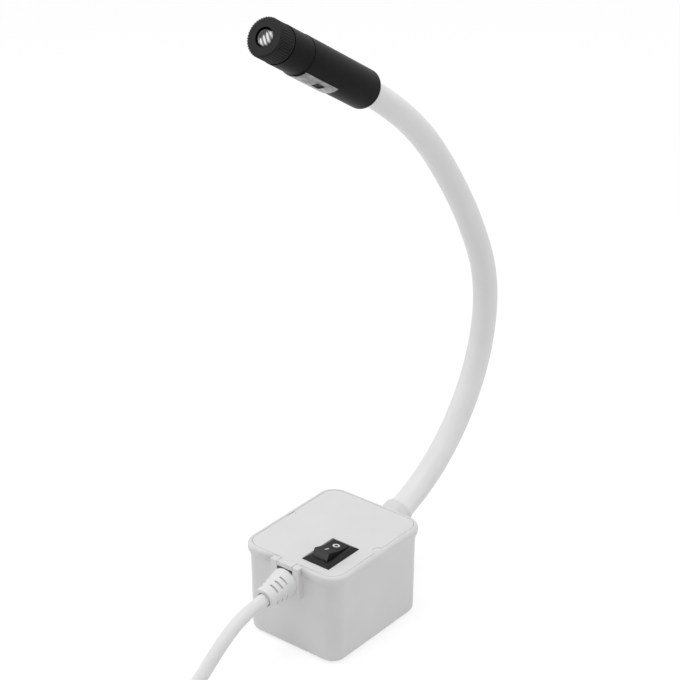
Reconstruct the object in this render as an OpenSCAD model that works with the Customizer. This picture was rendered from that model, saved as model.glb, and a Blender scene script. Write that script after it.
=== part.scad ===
// Sewing machine lamp: a magnetic base box with a rocker switch, a bendable neck and a slim
// focusing head. The origin is the centre of the base's bottom face, +Z is up, and +X runs
// from the wall with the cord to the wall with the neck.

/* [Base] */
// Length of the base at its rim
base_l = 62.5; // [57:0.5:80]
// Width of the base at its rim
base_w = 52.5; // [48:0.5:70]
// Height of the base with its lid
base_h = 44.5; // [41:0.5:48]
// Corner radius at the rim
base_r = 8; // [7.5:0.5:10]
// How far the rim stands out from the wall below it
rim_out = 0.8; // [0.6:0.1:1.2]
// Height of the upright band of the rim
rim_h = 3.4; // [2.5:0.1:4.5]
// Height of the hollow curve between wall and rim
flare_h = 7; // [4:0.5:10]
// Taper of each wall between the floor and that curve
wall_draft = 0.4; // [0.2:0.1:0.8]
// Radius of the bottom edge
foot_r = 3; // [1.5:0.5:4]
// Thickness of the wall at the floor
wall_t = 2.5; // [2:0.1:2.6]
// Thickness of the floor
floor_t = 1.6; // [1.2:0.1:2.5]
// Width of the rim beside the lid
rim_w = 1.4; // [1:0.1:2]
// Thickness of the lid
lid_t = 2.4; // [2:0.1:3]
// Radius of the two pry notches in the lid
notch_r = 2.6; // [1.5:0.1:3]

/* [Magnets] */
// Distance of the magnets from each end of the base
magnet_end = 11.25; // [11.25:0.25:16]
// Distance of the magnets from each side of the base
magnet_side = 9.75; // [9.5:0.25:13]
// Height of each magnet
magnet_h = 8; // [4:0.5:8]
// Thickness of the steel plate on the magnets
plate_t = 2.5; // [1.5:0.5:3]
// Width of the web between the two magnets
magnet_web = 4; // [3.5:0.5:5]

/* [Switch] */
// Length of the switch bezel
bezel_l = 21; // [20.5:0.5:22.5]
// Width of the switch bezel
bezel_w = 14.5; // [14:0.5:17]
// Height of the bezel above the lid
bezel_t = 1.5; // [1.2:0.1:2]
// Radius of the rocker's round ends about its pivot
rocker_r = 7.5; // [7:0.1:7.6]
// Width of the rocker
rocker_w = 8; // [7.5:0.1:8.4]
// Angle between off and on
rocker_throw = 25; // [16:1:28]
// Slope of each half of the rocker's top towards its middle
rocker_dip = 4.5; // [3:0.5:6]
// Depth of the switch housing below the lid's top
switch_depth = 15; // [13:0.5:16]
// Distance of the switch centre from the base's end with the cord
switch_end = 16.25; // [15.75:0.5:19.25]
// Distance of the switch centre from the middle of the lid, sideways
switch_side = 10.5; // [8:0.5:13]

/* [Driver] */
// Distance of the driver board from each side of the base
board_side = 8.25; // [7.5:0.25:9]
// Thickness of the driver board
board_t = 1.6; // [1:0.2:2]
// Air between the magnet plate and the board
board_air = 3.6; // [2.5:0.1:3.8]
// Side of the transformer
trafo_l = 15; // [10:0.5:16]
// Height of the transformer
trafo_h = 11; // [8:0.5:13]
// Diameter of the capacitor
cap_d = 10; // [6:0.5:11]
// Height of the capacitor
cap_h = 13; // [8:0.5:14]

/* [Cord] */
// Diameter of the mains cord
cord_d = 6; // [5:0.1:6]
// Distance of the cord gland's axis below the top of the base
gland_drop = 9.3; // [8.8:0.1:10]
// Length of the gland outside the wall
gland_len = 16; // [14:0.5:17]
// Diameter of the gland at the wall
gland_d = 13.2; // [12.6:0.1:13.6]
// Diameter of the gland at its tip
gland_tip_d = 9.8; // [9:0.1:10.4]
// Slope of the gland, down towards its tip
gland_droop = 8; // [4:1:10]
// Loops in the put-away hank
coil_loops = 5; // [4:1:5]
// Distance between neighbouring loops of the hank
coil_pitch = 6.6; // [6.5:0.1:7]
// Length of the plug's body
plug_l = 34; // [30:1:40]
// Thickness of the plug's body
plug_t = 13.6; // [12:0.2:14]
// Length of the plug's pins
pin_len = 19; // [17:0.5:20]
// Diameter of the plug's pins
pin_d = 4; // [3.5:0.1:4.8]
// Distance between the plug's pins
pin_gap = 18.6; // [17:0.1:19.2]

/* [Neck] */
// Outer diameter of the sleeve
sleeve_d = 11.3; // [10.5:0.1:12]
// Outer diameter of the steel core
core_d = 8.2; // [7:0.1:8.4]
// Bore of the steel core
core_bore = 5; // [3.8:0.1:5]
// Upward tilt of the neck's socket
socket_tilt = 18; // [10:1:20]
// Height of the neck's axis where it passes the end wall
socket_z = 27.9; // [27.5:0.1:30]
// Reach of the socket past the end wall
socket_len = 16.7; // [12:0.1:20]
// Wall thickness of the socket
socket_wall = 1.3; // [1:0.1:2]
// Length of each bendable link
link_len = 34; // [28:0.5:40]
// Length of the last link, up to the head
tip_len = 33; // [28:0.5:40]

/* [Head] */
// Length of the head
head_len = 72.5; // [69:0.5:80]
// Diameter of the barrel
head_d = 17; // [16.8:0.1:18]
// Diameter of the front tube where it shows
front_d = 16.7; // [16.2:0.1:16.8]
// Length of the front tube where it shows
front_len = 13.8; // [12:0.2:15]
// Length of the knurled bezel
knurl_len = 8.6; // [8.2:0.1:10]
// Number of ribs around the bezel
rib_count = 46; // [36:2:72]
// Depth of the ribs
rib_h = 0.35; // [0.2:0.05:0.5]
// Diameter of the opening in front of the lens
lens_open = 7.6; // [7:0.1:9]
// Diameter of the lens
lens_d = 10.8; // [10:0.1:11]
// Thickness of the lens
lens_t = 3; // [2:0.1:3.5]
// Travel of the lens when the bezel is turned
focus_travel = 2.5; // [1:0.1:2.5]
// Length of the silver plate under the barrel
badge_len = 23.4; // [15:0.2:26]
// Angle that the silver plate spans around the barrel
badge_span = 97; // [60:1:120]

/* [Hidden] */
$fn = 64;

// Clearances
fit = 0.05;       // between pieces that are pushed together
lid_gap = 0.15;   // around the lid and the magnets
swing_gap = 0.3;  // around pieces that turn or bend
eps = 0.01;       // how far a cut runs past a face

// Base, worked out
wall_in = rim_out + wall_draft + wall_t;
cav_l = base_l - 2 * wall_in;
cav_w = base_w - 2 * wall_in;
cav_r = base_r - wall_in;
seat_l = base_l - 2 * rim_w;
seat_w = base_w - 2 * rim_w;
seat_r = base_r - rim_w;
seat_z = base_h - lid_t;
flare_z = base_h - rim_h - flare_h;
rim_edge = 0.6;
corner_steps = 8;

// Magnet frame, worked out
magnet_lip = 0.8;
magnet_l = base_l - 2 * magnet_end;
magnet_w = base_w / 2 - magnet_side;
frame_t = 1.8;
magnet_y = magnet_web / 2 + magnet_w / 2 + lid_gap;
frame_l = magnet_l + 2 * lid_gap + 2 * frame_t;
frame_w = 2 * magnet_y + magnet_w + 2 * lid_gap + 2 * frame_t;
frame_h = magnet_lip + magnet_h;
screw_r = 1.1;
screw_head_r = 2.1;
screw_head_h = 1.4;
screw_len = 6;
plate_screw_x = frame_l / 2 - 6;

// Driver board, worked out
board_z = frame_h + plate_t + board_air;
board_top = board_z + board_t;
board_gap = 0.6;
board_w = base_w - 2 * board_side;
board_l = cav_l - 2 * board_gap;
post_r = 2.5;
post_x = frame_l / 2 + post_r + swing_gap;
post_y = board_w / 2 - post_r - swing_gap;
board_edge = 1.2;
trafo_end = 27.25;
trafo_x = base_l / 2 - trafo_end;
trafo_y = board_w / 2 - trafo_l / 2 - board_edge;
cap_to_post = 8.75;
cap_x = cap_to_post - post_x;
cap_y = board_w / 2 - cap_d / 2 - board_edge;
chip_size = [6, 5, 1.8];
chip_x = -2;
chip_y = -9;

// Switch, worked out
switch_x = switch_end - base_l / 2;
switch_y = -switch_side;
bezel_edge = 0.3;
bezel_bevel = 2;
bezel_lap = 1.1;
rocker_gap = 0.25;
opening_l = 2 * (rocker_r + swing_gap);
opening_w = rocker_w + 2 * rocker_gap;
switch_l = bezel_l - 2 * bezel_lap;
switch_w = bezel_w - 2 * bezel_lap;
pivot_z = base_h;
rocker_top = 2.8;
rocker_low = 4;
stub_r = 1;
stub_len = 0.9;
half_throw = rocker_throw / 2;
mark_h = 0.15;
mark_out = 3.3;
ring_r = 1.6;
ring_in = 0.9;
bar = [2.6, 0.5];
terminal = [0.8, 4.8, 8];
terminal_x = 5;
terminal_in = 2.5;
terminal_end = base_h - switch_depth - terminal[2] + terminal_in;

// Gland, worked out
gland_z = base_h - gland_drop;
gland_neck_w = gland_d - 4.6;
wall_out_x = -base_l / 2 + rim_out;
frame_out = 3.05;
frame_side = gland_d / 2 + 1.2;
frame_low = gland_d / 2 - 0.6;
gland_x = wall_out_x - frame_out;
gland_tip_x = -base_l / 2 - gland_len;
gland_axis = [cos(gland_droop), 0, sin(gland_droop)];
gland_cone = (gland_x - gland_tip_x) / gland_axis[0];
gland_tip = [gland_x, 0, gland_z] - gland_cone * gland_axis;
gland_in_x = -cav_l / 2 + 2;
gland_flange_t = 1.4;
recess_depth = 3;
recess_gap = 0.4;
tongue_gap = 0.25;
tongue_w = gland_neck_w - 2 * tongue_gap;
tongue_low = base_h - 2.1;

// Neck, worked out: it is shown bent in the plane y = 0, each link by the angle given here
link_bends = [22, 21, 24, 28, 9, 6, 12, 8];
sleeve_r = sleeve_d / 2;
sleeve_in = core_d / 2 + fit;
core_r = core_d / 2;
bore_r = core_bore / 2;
ball_r = sleeve_r - 0.1;
cup_r = ball_r + swing_gap + 0.05;
links = len(link_bends);
end_overlap = 0.5;
end_step = 0.05;
mouth_gap = 3;
socket_bore = sleeve_r + lid_gap;
socket_r = socket_bore + socket_wall;
root_reach = socket_len + mouth_gap;
root = [base_l / 2, 0, socket_z] + root_reach * ahead(socket_tilt);
boss_reach = 4;
boss_in = root_reach + (wall_in + boss_reach) / cos(socket_tilt);
washer_t = 1;
washer_r = core_r + 2.4;
nut_t = 5;
nut_af = 13;
thread_end = 1.5;
root_in = boss_in + washer_t + nut_t + thread_end;
shoulder = root_reach - 2;

function ahead(a) = [cos(a), 0, sin(a)];
function total(list, count) = count == 0 ? 0 : list[count - 1] + total(list, count - 1);
function link_length(k) = k < links ? link_len : tip_len;
function heading(k) = socket_tilt + total(link_bends, k);
function arc_r(k) = link_length(k) * 180 / (PI * link_bends[k - 1]);
function arc_step(r, a, b) = r * [sin(b) - sin(a), 0, cos(a) - cos(b)];
function pivot(k) =
  k == 0 ? root : pivot(k - 1) + arc_step(arc_r(k), heading(k - 1), heading(k));
function arc_centre(k) =
  pivot(k - 1) + arc_r(k) * [-sin(heading(k - 1)), 0, cos(heading(k - 1))];

// Head, worked out: distances along the head run from its back to its front
head_r = head_d / 2;
barrel_wall = 1.3;
barrel_in = head_r - barrel_wall;
groove = 0.6;
barrel_len = head_len - knurl_len - front_len - groove;
rear_t = 4;
rear_round = 1.4;
tip_ring_t = 0.9;
tip_ring_r = sleeve_r + 0.9;
tip_nut_t = 4;
tip_nut_r = barrel_in - 0.6;
core_in = rear_t + tip_nut_t + thread_end;
spigot_len = 5.5;
spigot_r = barrel_in - fit;
tube_in = spigot_r - 1;
sink_len = 16;
sink_z = barrel_len - spigot_len - sink_len - fit;
sink_top = sink_z + sink_len;
led_board_t = 1.2;
led_board_r = tube_in - 0.2;
led_size = 4.5;
led_t = 0.9;
front_z = barrel_len;
bezel_z = front_z + front_len + groove;
bezel_r = head_r - 0.3;
bezel_in = bezel_r - 1.1;
neck_r = bezel_in - 0.1;
nose_len = 6.5;
carrier_r = tube_in - 0.08;
carrier_in = lens_d / 2 + fit;
front_wall = 1.5;
carrier_front = head_len - front_wall - 0.5;
carrier_len = 10;
lens_seat = 0.6;
lug_w = 2;
lug_len = 2.5;
lug_z = carrier_front - 3.6;
lug_r = bezel_in - 0.1;
ring_wire = 0.9;
badge_t = 0.35;
badge_end = 0.4;
badge_z = front_z - badge_end - badge_len;
badge_window = 5.6;
badge_window_in = 6.6;
badge_window_z = badge_z + badge_window_in;
badge_window_turn = 204;
badge_window_span = 23;
wire_r = 0.7;
head_wire_y = 1.1;

// Cord, worked out: the lead's points are chosen by hand, the hank's come from a formula
cord_r = cord_d / 2;
tie_t = 0.8;
tie_w = 8;
tie_gap = 0.3;
tie_slack = 0.6;
fold_r = 3 * cord_d;
hank_run = 62;
hank_layers = 3;
layer_loops = coil_loops / hank_layers;
hank_out_r = fold_r + coil_pitch * layer_loops;
hank_low = cord_r + tie_t + tie_gap + 0.1;
hank_rise = coil_pitch * (hank_layers - 1);
hank_away = 117.75;
hank_x = gland_tip_x - hank_away;
hank_side = 20;
hank_y = hank_side - hank_out_r;
loop_rings = 36;
lead_in = recess_depth - 0.1;
// Each point of the lead: distance from the gland's tip, and height as a share of the tip's
lead_points = [
  [5.75, 0.978], [11.75, 0.952], [17.75, 0.892], [23.75, 0.794], [31.75, 0.625], [40.75, 0.4],
  [47.75, 0.216], [54.75, 0.081], [62.75, 0.01], [72.75, 0], [80, 0], [90, 0], [100, 0],
  [hank_away - cord_d, 0], [hank_away, 0]
];
lead_straight = 40;
lead_turn = 70;
lead_route = concat(
  [for (s = [lead_in, -1]) gland_tip + s * gland_axis],
  [
    for (p = lead_points) [
      gland_tip_x - p[0],
      hank_side * ease((p[0] - lead_straight) / lead_turn),
      hank_low + p[1] * (gland_tip[2] - hank_low)
    ]
  ]
);
plug_z = hank_low + hank_rise + cord_r + plug_t / 2 + 0.1;
plug_rise = plug_z - hank_low - hank_rise;
tail_start = [hank_x - cord_d, hank_y + fold_r, plug_z];
tail_len = 9;
relief_len = 22;
plug_x = tail_start[0] - tail_len - relief_len;
tail_route = [for (s = [0 : 0.25 : 1]) tail_start - [s * tail_len, 0, 0]];

// The hank: loops of two runs and two folds, wound inwards, outwards and inwards in three layers
function ease(t) = t < 0 ? 0 : t > 1 ? 1 : t * t * (3 - 2 * t);
run_share = hank_run / (2 * hank_run + PI * (fold_r + hank_out_r));
fold_share = 0.5 - run_share;
function hank_r(t) =
  let (k = floor(t / layer_loops), s = t / layer_loops - k)
  fold_r + coil_pitch * layer_loops * (k % 2 == 0 ? 1 - s : s);
function hank_z(t) =
  hank_low
  + coil_pitch * ease((t - layer_loops) * 2 + 0.5)
  + coil_pitch * ease((t - 2 * layer_loops) * 2 + 0.5)
  + plug_rise * ease((t - coil_loops) / fold_share + 1);
function fold_angle(u) = 180 * (u - run_share) / fold_share;
function coil_point(t) =
  let (u = t - floor(t), back = u >= 0.5, v = back ? u - 0.5 : u, r = hank_r(t), side = back ? -1 : 1)
  v < run_share
  ? [hank_x - (back ? 1 - v / run_share : v / run_share) * hank_run, hank_y + side * r, hank_z(t)]
  : [
      hank_x - (back ? 0 : hank_run) - side * r * sin(fold_angle(v)),
      hank_y + side * r * cos(fold_angle(v)),
      hank_z(t)
    ];
coil_steps = coil_loops * loop_rings;
coil_turns = [for (i = [0 : coil_steps]) coil_point(i / loop_rings)];
coil_route = concat(coil_turns, [tail_start]);
coil_gaps = [
  for (i = [0 : len(coil_turns) - 1], j = [i + loop_rings / 2 : len(coil_turns) - 1])
    norm(coil_turns[i] - coil_turns[j])
];
echo(coil_least_gap = min(coil_gaps) - cord_d);

// Shared shapes

// Points of a round-cornered outline at height z
function outline(l, w, r, z) = [
  for (q = [0 : 3], s = [0 : corner_steps])
    let (
      a = 90 * q + 90 * s / corner_steps,
      cx = (q == 0 || q == 3 ? 1 : -1) * (l / 2 - r),
      cy = (q < 2 ? 1 : -1) * (w / 2 - r)
    )
    [cx + r * cos(a), cy + r * sin(a), z]
];

// Closed solid through a stack of outlines with the same number of points
module loft(rings) {
  n = len(rings[0]);
  last = len(rings) - 1;
  points = [for (ring = rings, p = ring) p];
  sides = [
    for (k = [0 : last - 1], i = [0 : n - 1])
      let (j = (i + 1) % n)
      each [
        [k * n + i, (k + 1) * n + j, k * n + j],
        [k * n + i, (k + 1) * n + i, (k + 1) * n + j]
      ]
  ];
  low = [[for (i = [0 : n - 1]) i]];
  high = [[for (i = [n - 1 : -1 : 0]) last * n + i]];
  polyhedron(points, concat(sides, low, high), convexity = 6);
}

// Upright block with round corners
module round_block(l, w, r, h) {
  linear_extrude(h) {
    square([l - 2 * r, w], center = true);
    square([l, w - 2 * r], center = true);
    for (x = [-1, 1], y = [-1, 1])
      translate([x * (l / 2 - r), y * (w / 2 - r)]) circle(r);
  }
}

// Round tube swept along a list of points, with its ring planes square to the route
function unit(v) = v / norm(v);
function run_at(route, i) =
  unit(route[min(i + 1, len(route) - 1)] - route[max(i - 1, 0)]);
module tube(route, r, sides, side_axis) {
  rings = [
    for (i = [0 : len(route) - 1])
      let (
        run = run_at(route, i),
        u = unit(cross(run, side_axis)),
        v = cross(u, run)
      )
      [
        for (s = [0 : sides - 1])
          let (a = 360 * s / sides)
          route[i] + r * (cos(a) * u + sin(a) * v)
      ]
  ];
  loft(rings);
}

// Places a shape that stands along +Z on a point of the neck's plane, along a heading
module along(p, a) {
  translate(p) rotate([0, 90 - a, 0]) children();
}
module on_head() {
  along(pivot(links), heading(links)) children();
}
module on_socket(back) {
  along(root - back * ahead(socket_tilt), socket_tilt) children();
}
module pipe(r, bore, h) {
  difference() {
    cylinder(r = r, h = h);
    translate([0, 0, -eps]) cylinder(r = bore, h = h + 2 * eps);
  }
}
module pan_screw(len) {
  cylinder(r = screw_head_r, h = screw_head_h);
  translate([0, 0, -len]) cylinder(r = screw_r - fit, h = len);
}

// Base box

// Inset of the outer wall at a height
function wall_inset(z) = rim_out + wall_draft * (1 - z / flare_z);
tub_profile = concat(
  [
    for (a = [0 : 15 : 90])
      let (z = foot_r * (1 - cos(a)))
      [wall_inset(z) + foot_r * (1 - sin(a)), z]
  ],
  [for (t = [0 : 0.2 : 1]) [rim_out * (1 - t * t), flare_z + flare_h * t]],
  [
    for (a = [0 : 30 : 90])
      [rim_edge * (1 - cos(a)), base_h - rim_edge + rim_edge * sin(a)]
  ]
);
module base_tub() {
  color("white") difference() {
    union() {
      difference() {
        union() {
          loft([
            for (p = tub_profile)
              outline(base_l - 2 * p[0], base_w - 2 * p[0], base_r - p[0], p[1])
          ]);
          gland_boss();
        }
        translate([0, 0, floor_t]) round_block(cav_l, cav_w, cav_r, base_h);
        translate([0, 0, seat_z]) round_block(seat_l, seat_w, seat_r, base_h);
      }
      translate([-frame_l / 2, -frame_w / 2, eps]) cube([frame_l, frame_w, frame_h - eps]);
      for (x = [-1, 1], y = [-1, 1])
        translate([x * post_x, y * post_y, floor_t - eps])
          cylinder(r = post_r, h = board_z - floor_t + eps);
      on_socket(boss_in) cylinder(r = socket_r, h = boss_in - mouth_gap);
    }
    for (y = [-1, 1]) translate([0, y * magnet_y, 0]) {
      translate([-magnet_l / 2 + magnet_lip, -magnet_w / 2 + magnet_lip, -eps])
        cube([magnet_l - 2 * magnet_lip, magnet_w - 2 * magnet_lip, frame_h]);
      translate([-magnet_l / 2 - lid_gap, -magnet_w / 2 - lid_gap, magnet_lip])
        cube([magnet_l + 2 * lid_gap, magnet_w + 2 * lid_gap, frame_h]);
    }
    for (x = [-1, 1]) translate([x * plate_screw_x, 0, frame_h + plate_t - screw_len])
      cylinder(r = screw_r, h = screw_len);
    for (x = [-1, 1], y = [-1, 1])
      translate([x * post_x, y * post_y, board_top - screw_len]) cylinder(r = screw_r, h = screw_len);
    on_socket(shoulder) cylinder(r = socket_bore, h = shoulder);
    on_socket(boss_in + eps) cylinder(r = core_r + fit, h = boss_in);
    gland_slot();
    for (y = [-1, 1], x = [-1, 1]) translate([x * hook_x, y * cav_w / 2, hook_z])
      cube([hook_w + 2 * swing_gap, 2 * (barb + lid_gap), barb_h + 2 * swing_gap], center = true);
  }
}

// Boss on the end wall that frames the gland, as high as the rim
module gland_boss() {
  low = gland_z - frame_low;
  rotate([90, 0, 0]) linear_extrude(2 * frame_side, center = true) polygon(concat(
    [[gland_x, low], [-cav_l / 2, low], [-cav_l / 2, base_h]],
    [for (a = [90 : -30 : 0]) [gland_x, base_h] + rim_edge * [1 - cos(a), sin(a) - 1]]
  ));
}

// Opening in the end wall that takes the gland's neck, open to the top
module gland_slot() {
  w = gland_neck_w + 2 * fit;
  depth = wall_in + frame_out + 2;
  x = gland_x - 1;
  translate([x, 0, gland_z]) rotate([0, 90, 0]) cylinder(r = w / 2, h = depth);
  translate([x, -w / 2, gland_z]) cube([depth, w, base_h]);
}

// Lid with its tongue over the gland, four snap hooks and two pry notches
hook_w = 6;
hook_t = 1.4;
hook_len = 6;
hook_in = 4.75;
hook_x = cav_l / 2 - cav_r - hook_in;
barb = 0.6;
barb_h = 1.6;
notch_depth = 0.3;
hook_z = seat_z - hook_len + barb_h / 2;
module snap_hook() {
  linear_extrude(hook_w) polygon([
    [-hook_t, seat_z + eps], [0, seat_z + eps], [0, hook_z + barb_h / 2],
    [barb, hook_z + barb_h / 4], [0, hook_z - barb_h / 2], [-hook_t, hook_z - barb_h / 2]
  ]);
}
module base_lid() {
  color("white") difference() {
    union() {
      translate([0, 0, seat_z])
        round_block(seat_l - 2 * lid_gap, seat_w - 2 * lid_gap, seat_r - lid_gap, lid_t);
      translate([gland_x, -tongue_w / 2, tongue_low])
        cube([wall_in + frame_out, tongue_w, base_h - tongue_low]);
      for (y = [0, 1], x = [-1, 1]) mirror([0, y, 0])
        translate([x * hook_x - hook_w / 2, cav_w / 2 - lid_gap, 0]) rotate([90, 0, 90]) snap_hook();
    }
    translate([switch_x, switch_y, seat_z - hook_len])
      cube([switch_l + 2 * fit, switch_w + 2 * fit, 4 * hook_len], center = true);
    for (y = [-1, 1]) translate([0, y * (seat_w / 2 - lid_gap), base_h - notch_depth])
      cylinder(r = notch_r, h = lid_t);
  }
}

// Magnets, their plate and its screws
module base_magnets() {
  color("dimgray") for (y = [-1, 1])
    translate([-magnet_l / 2, y * magnet_y - magnet_w / 2, magnet_lip])
      cube([magnet_l, magnet_w, magnet_h]);
}
module magnet_plate() {
  color("silver") difference() {
    translate([-frame_l / 2, -frame_w / 2, frame_h]) cube([frame_l, frame_w, plate_t]);
    for (x = [-1, 1]) translate([x * plate_screw_x, 0, frame_h - 1])
      cylinder(r = screw_r, h = plate_t + 2);
  }
}
module plate_screws() {
  color("gainsboro") for (x = [-1, 1])
    translate([x * plate_screw_x, 0, frame_h + plate_t]) pan_screw(screw_len - 0.5);
}

// Rocker switch, its bezel bevelled on all four sides
module bevel_bar(out, long) {
  rotate([90, 0, 0]) linear_extrude(long, center = true) polygon([
    [-out / 2, 0], [out / 2, 0], [out / 2, bezel_edge], [out / 2 - bezel_bevel, bezel_t],
    [bezel_bevel - out / 2, bezel_t], [-out / 2, bezel_edge]
  ]);
}
module switch_housing() {
  color("black") difference() {
    union() {
      translate([switch_x, switch_y, base_h]) intersection() {
        bevel_bar(bezel_l, bezel_w);
        rotate([0, 0, 90]) bevel_bar(bezel_w, bezel_l);
      }
      translate([switch_x - switch_l / 2, switch_y - switch_w / 2, base_h - switch_depth])
        cube([switch_l, switch_w, switch_depth + eps]);
    }
    translate([switch_x - opening_l / 2, switch_y - opening_w / 2, base_h - switch_depth + 2])
      cube([opening_l, opening_w, switch_depth + bezel_t]);
    translate([switch_x, switch_y, pivot_z]) rotate([90, 0, 0])
      cylinder(r = stub_r + fit, h = opening_w + 2 * stub_len, center = true);
    for (x = [-1, 1]) translate([switch_x + x * terminal_x, switch_y, base_h - switch_depth])
      cube([terminal[0] + 2 * fit, terminal[1] + 2 * fit, 6], center = true);
  }
}
module on_rocker() {
  translate([switch_x, switch_y, pivot_z]) rotate([0, half_throw, 0]) children();
}
module switch_rocker() {
  color("dimgray") on_rocker() rotate([90, 0, 0]) {
    linear_extrude(rocker_w, center = true) intersection() {
      circle(rocker_r);
      polygon([
        [-rocker_r, -rocker_low], [rocker_r, -rocker_low],
        [rocker_r, rocker_top + rocker_r * tan(rocker_dip)], [0, rocker_top],
        [-rocker_r, rocker_top + rocker_r * tan(rocker_dip)]
      ]);
    }
    cylinder(r = stub_r, h = rocker_w + 2 * stub_len, center = true);
  }
}
module rocker_marks() {
  color("white") on_rocker() for (x = [-1, 1])
    translate([0, 0, rocker_top]) rotate([0, -x * rocker_dip, 0]) translate([x * mark_out, 0, 0])
      if (x > 0) pipe(ring_r, ring_in, mark_h);
      else translate([-bar[0] / 2, -bar[1] / 2, 0]) cube([bar[0], bar[1], mark_h]);
}
module switch_terminals() {
  color("goldenrod") for (x = [-1, 1])
    translate([switch_x + x * terminal_x - terminal[0] / 2, switch_y - terminal[1] / 2, terminal_end])
      cube(terminal);
}

// Driver board and its parts
module driver_board() {
  color("darkgreen") difference() {
    translate([-board_l / 2, -board_w / 2, board_z]) cube([board_l, board_w, board_t]);
    for (x = [-1, 1], y = [-1, 1])
      translate([x * post_x, y * post_y, board_z - 1]) cylinder(r = screw_r, h = board_t + 2);
  }
}
module driver_transformer() {
  core_t = trafo_l / 4;
  color("khaki") translate([trafo_x, trafo_y, board_top]) difference() {
    translate([-trafo_l / 2, -trafo_l / 2, 0]) cube([trafo_l, trafo_l, trafo_h]);
    for (y = [-1, 1]) translate([-trafo_l, y * trafo_l / 2 - core_t / 2, trafo_h / 4])
      cube([2 * trafo_l, core_t, trafo_h / 2]);
  }
}
module driver_capacitor() {
  color("midnightblue") translate([cap_x, cap_y, board_top]) difference() {
    cylinder(d = cap_d, h = cap_h);
    translate([0, 0, cap_h - 2]) rotate_extrude() translate([cap_d / 2, 0]) circle(0.5);
  }
}
module driver_chip() {
  color("black") translate([chip_x, chip_y, board_top]) {
    translate([-chip_size[0] / 2, -chip_size[1] / 2, 0.2]) cube(chip_size - [0, 0, 0.2]);
    for (x = [-1.5 : 1 : 1.5], y = [-1, 1])
      translate([x * 1.27 - 0.2, y * (chip_size[1] / 2 + 0.2) - 0.6, 0]) cube([0.4, 1.2, 0.5]);
  }
}
module board_screws() {
  color("gainsboro") for (x = [-1, 1], y = [-1, 1])
    translate([x * post_x, y * post_y, board_top]) pan_screw(screw_len - 0.5);
}

// Cord gland: a drooping tapered body with rows of slits, a neck in the wall and a flange inside
slit_t = 0.8;
slit_w = 4.6;
slit_depth = 1.6;
slit_turn = 32;
slit_first = 4.4;
slit_pitch = 2.9;
slits = 3;
gland_over = 2;
gland_taper = (gland_d - gland_tip_d) / 2 / gland_cone;
module on_gland() {
  translate(gland_tip) rotate([0, -gland_droop, 0]) children();
}
module gland_slit(row, k) {
  reach = slit_first + slit_pitch * (k - (row % 2) / 2);
  low = gland_tip_d / 2 + gland_taper * reach - slit_depth;
  rotate([slit_turn + 90 * row, 0, 0]) translate([reach - slit_t / 2, -slit_w / 2, low])
    cube([slit_t, slit_w, gland_d]);
}
module cord_gland() {
  long = gland_cone + gland_over;
  color("white") difference() {
    union() {
      intersection() {
        on_gland() rotate([0, 90, 0])
          cylinder(d1 = gland_tip_d, d2 = gland_tip_d + 2 * gland_taper * long, h = long);
        translate([gland_x - fit - 2 * long, -gland_d, gland_z - 2 * gland_d])
          cube([2 * long, 2 * gland_d, 4 * gland_d]);
      }
      translate([gland_x - gland_over, 0, gland_z]) rotate([0, 90, 0])
        cylinder(d = gland_neck_w, h = gland_in_x - gland_x + gland_over);
      translate([-cav_l / 2 + fit, 0, gland_z]) rotate([0, 90, 0]) intersection() {
        cylinder(d = gland_d + 1, h = gland_flange_t);
        translate([-gland_neck_w / 2, -gland_d, 0]) cube([2 * gland_d, 2 * gland_d, gland_d]);
      }
    }
    on_gland() {
      translate([-1, 0, 0]) rotate([0, 90, 0]) cylinder(r = cord_r + recess_gap, h = recess_depth + 1);
      for (row = [0 : 3], k = [0 : slits - 1]) gland_slit(row, k);
    }
  }
}

// Wires inside the base
wire_y = 1.7;
live_x = switch_x - terminal_x;
load_x = switch_x + terminal_x;
drop_x = gland_in_x + 3;
load_pad = 7.2;
pad_rise = 1.2;
mains_routes = [
  [
    [gland_in_x, -wire_y, gland_z], [gland_in_x + 1, -wire_y, gland_z],
    [drop_x - 0.6, -wire_y, gland_z - 1.4], [drop_x, -wire_y, gland_z - 5],
    [drop_x + 1, -wire_y, terminal_end + 3],
    [live_x, switch_y + 5, terminal_end - 1], [live_x, switch_y + 1, terminal_end - 2.2],
    [live_x, switch_y, terminal_end - 1.2], [live_x, switch_y, terminal_end]
  ],
  [
    [gland_in_x, wire_y, gland_z], [gland_in_x + 1, wire_y, gland_z],
    [drop_x - 0.6, wire_y + 0.5, gland_z - 1.4],
    [drop_x, wire_y + 1, gland_z - 6], [drop_x, wire_y + 1, board_top + 4], [drop_x, wire_y + 1, board_top]
  ],
  [
    [load_x, switch_y, terminal_end], [load_x, switch_y, terminal_end - 1.2],
    [load_x, switch_y + 1.5, terminal_end - 2.4], [load_x, switch_y + 5, board_top + 2.6],
    [load_x, switch_y + load_pad, board_top + pad_rise], [load_x, switch_y + load_pad, board_top]
  ]
];
module mains_wires() {
  color("saddlebrown") for (route = mains_routes) tube(route, wire_r, 8, [1, 0.02, 0]);
}
root_end = root - root_in * ahead(socket_tilt);
lamp_back = 8;
lamp_x = root_end[0] - lamp_back;
lamp_y = -5;
wire_in = 6;
module lamp_wires() {
  color("crimson") for (side = [-1, 1]) {
    apart = [0, side * head_wire_y, 0];
    tube([
      [lamp_x, lamp_y, board_top] + apart, [lamp_x, lamp_y, board_top + 2] + apart,
      [lamp_x + 1, lamp_y + 1, root_end[2] - 2.6] + apart,
      [lamp_x + 4, lamp_y / 2, root_end[2] - 1.2] + apart,
      root_end + apart - ahead(socket_tilt), root_end + apart, root_end + apart + wire_in * ahead(socket_tilt)
    ], wire_r, 8, [0.02, 1, 0]);
  }
}

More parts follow.
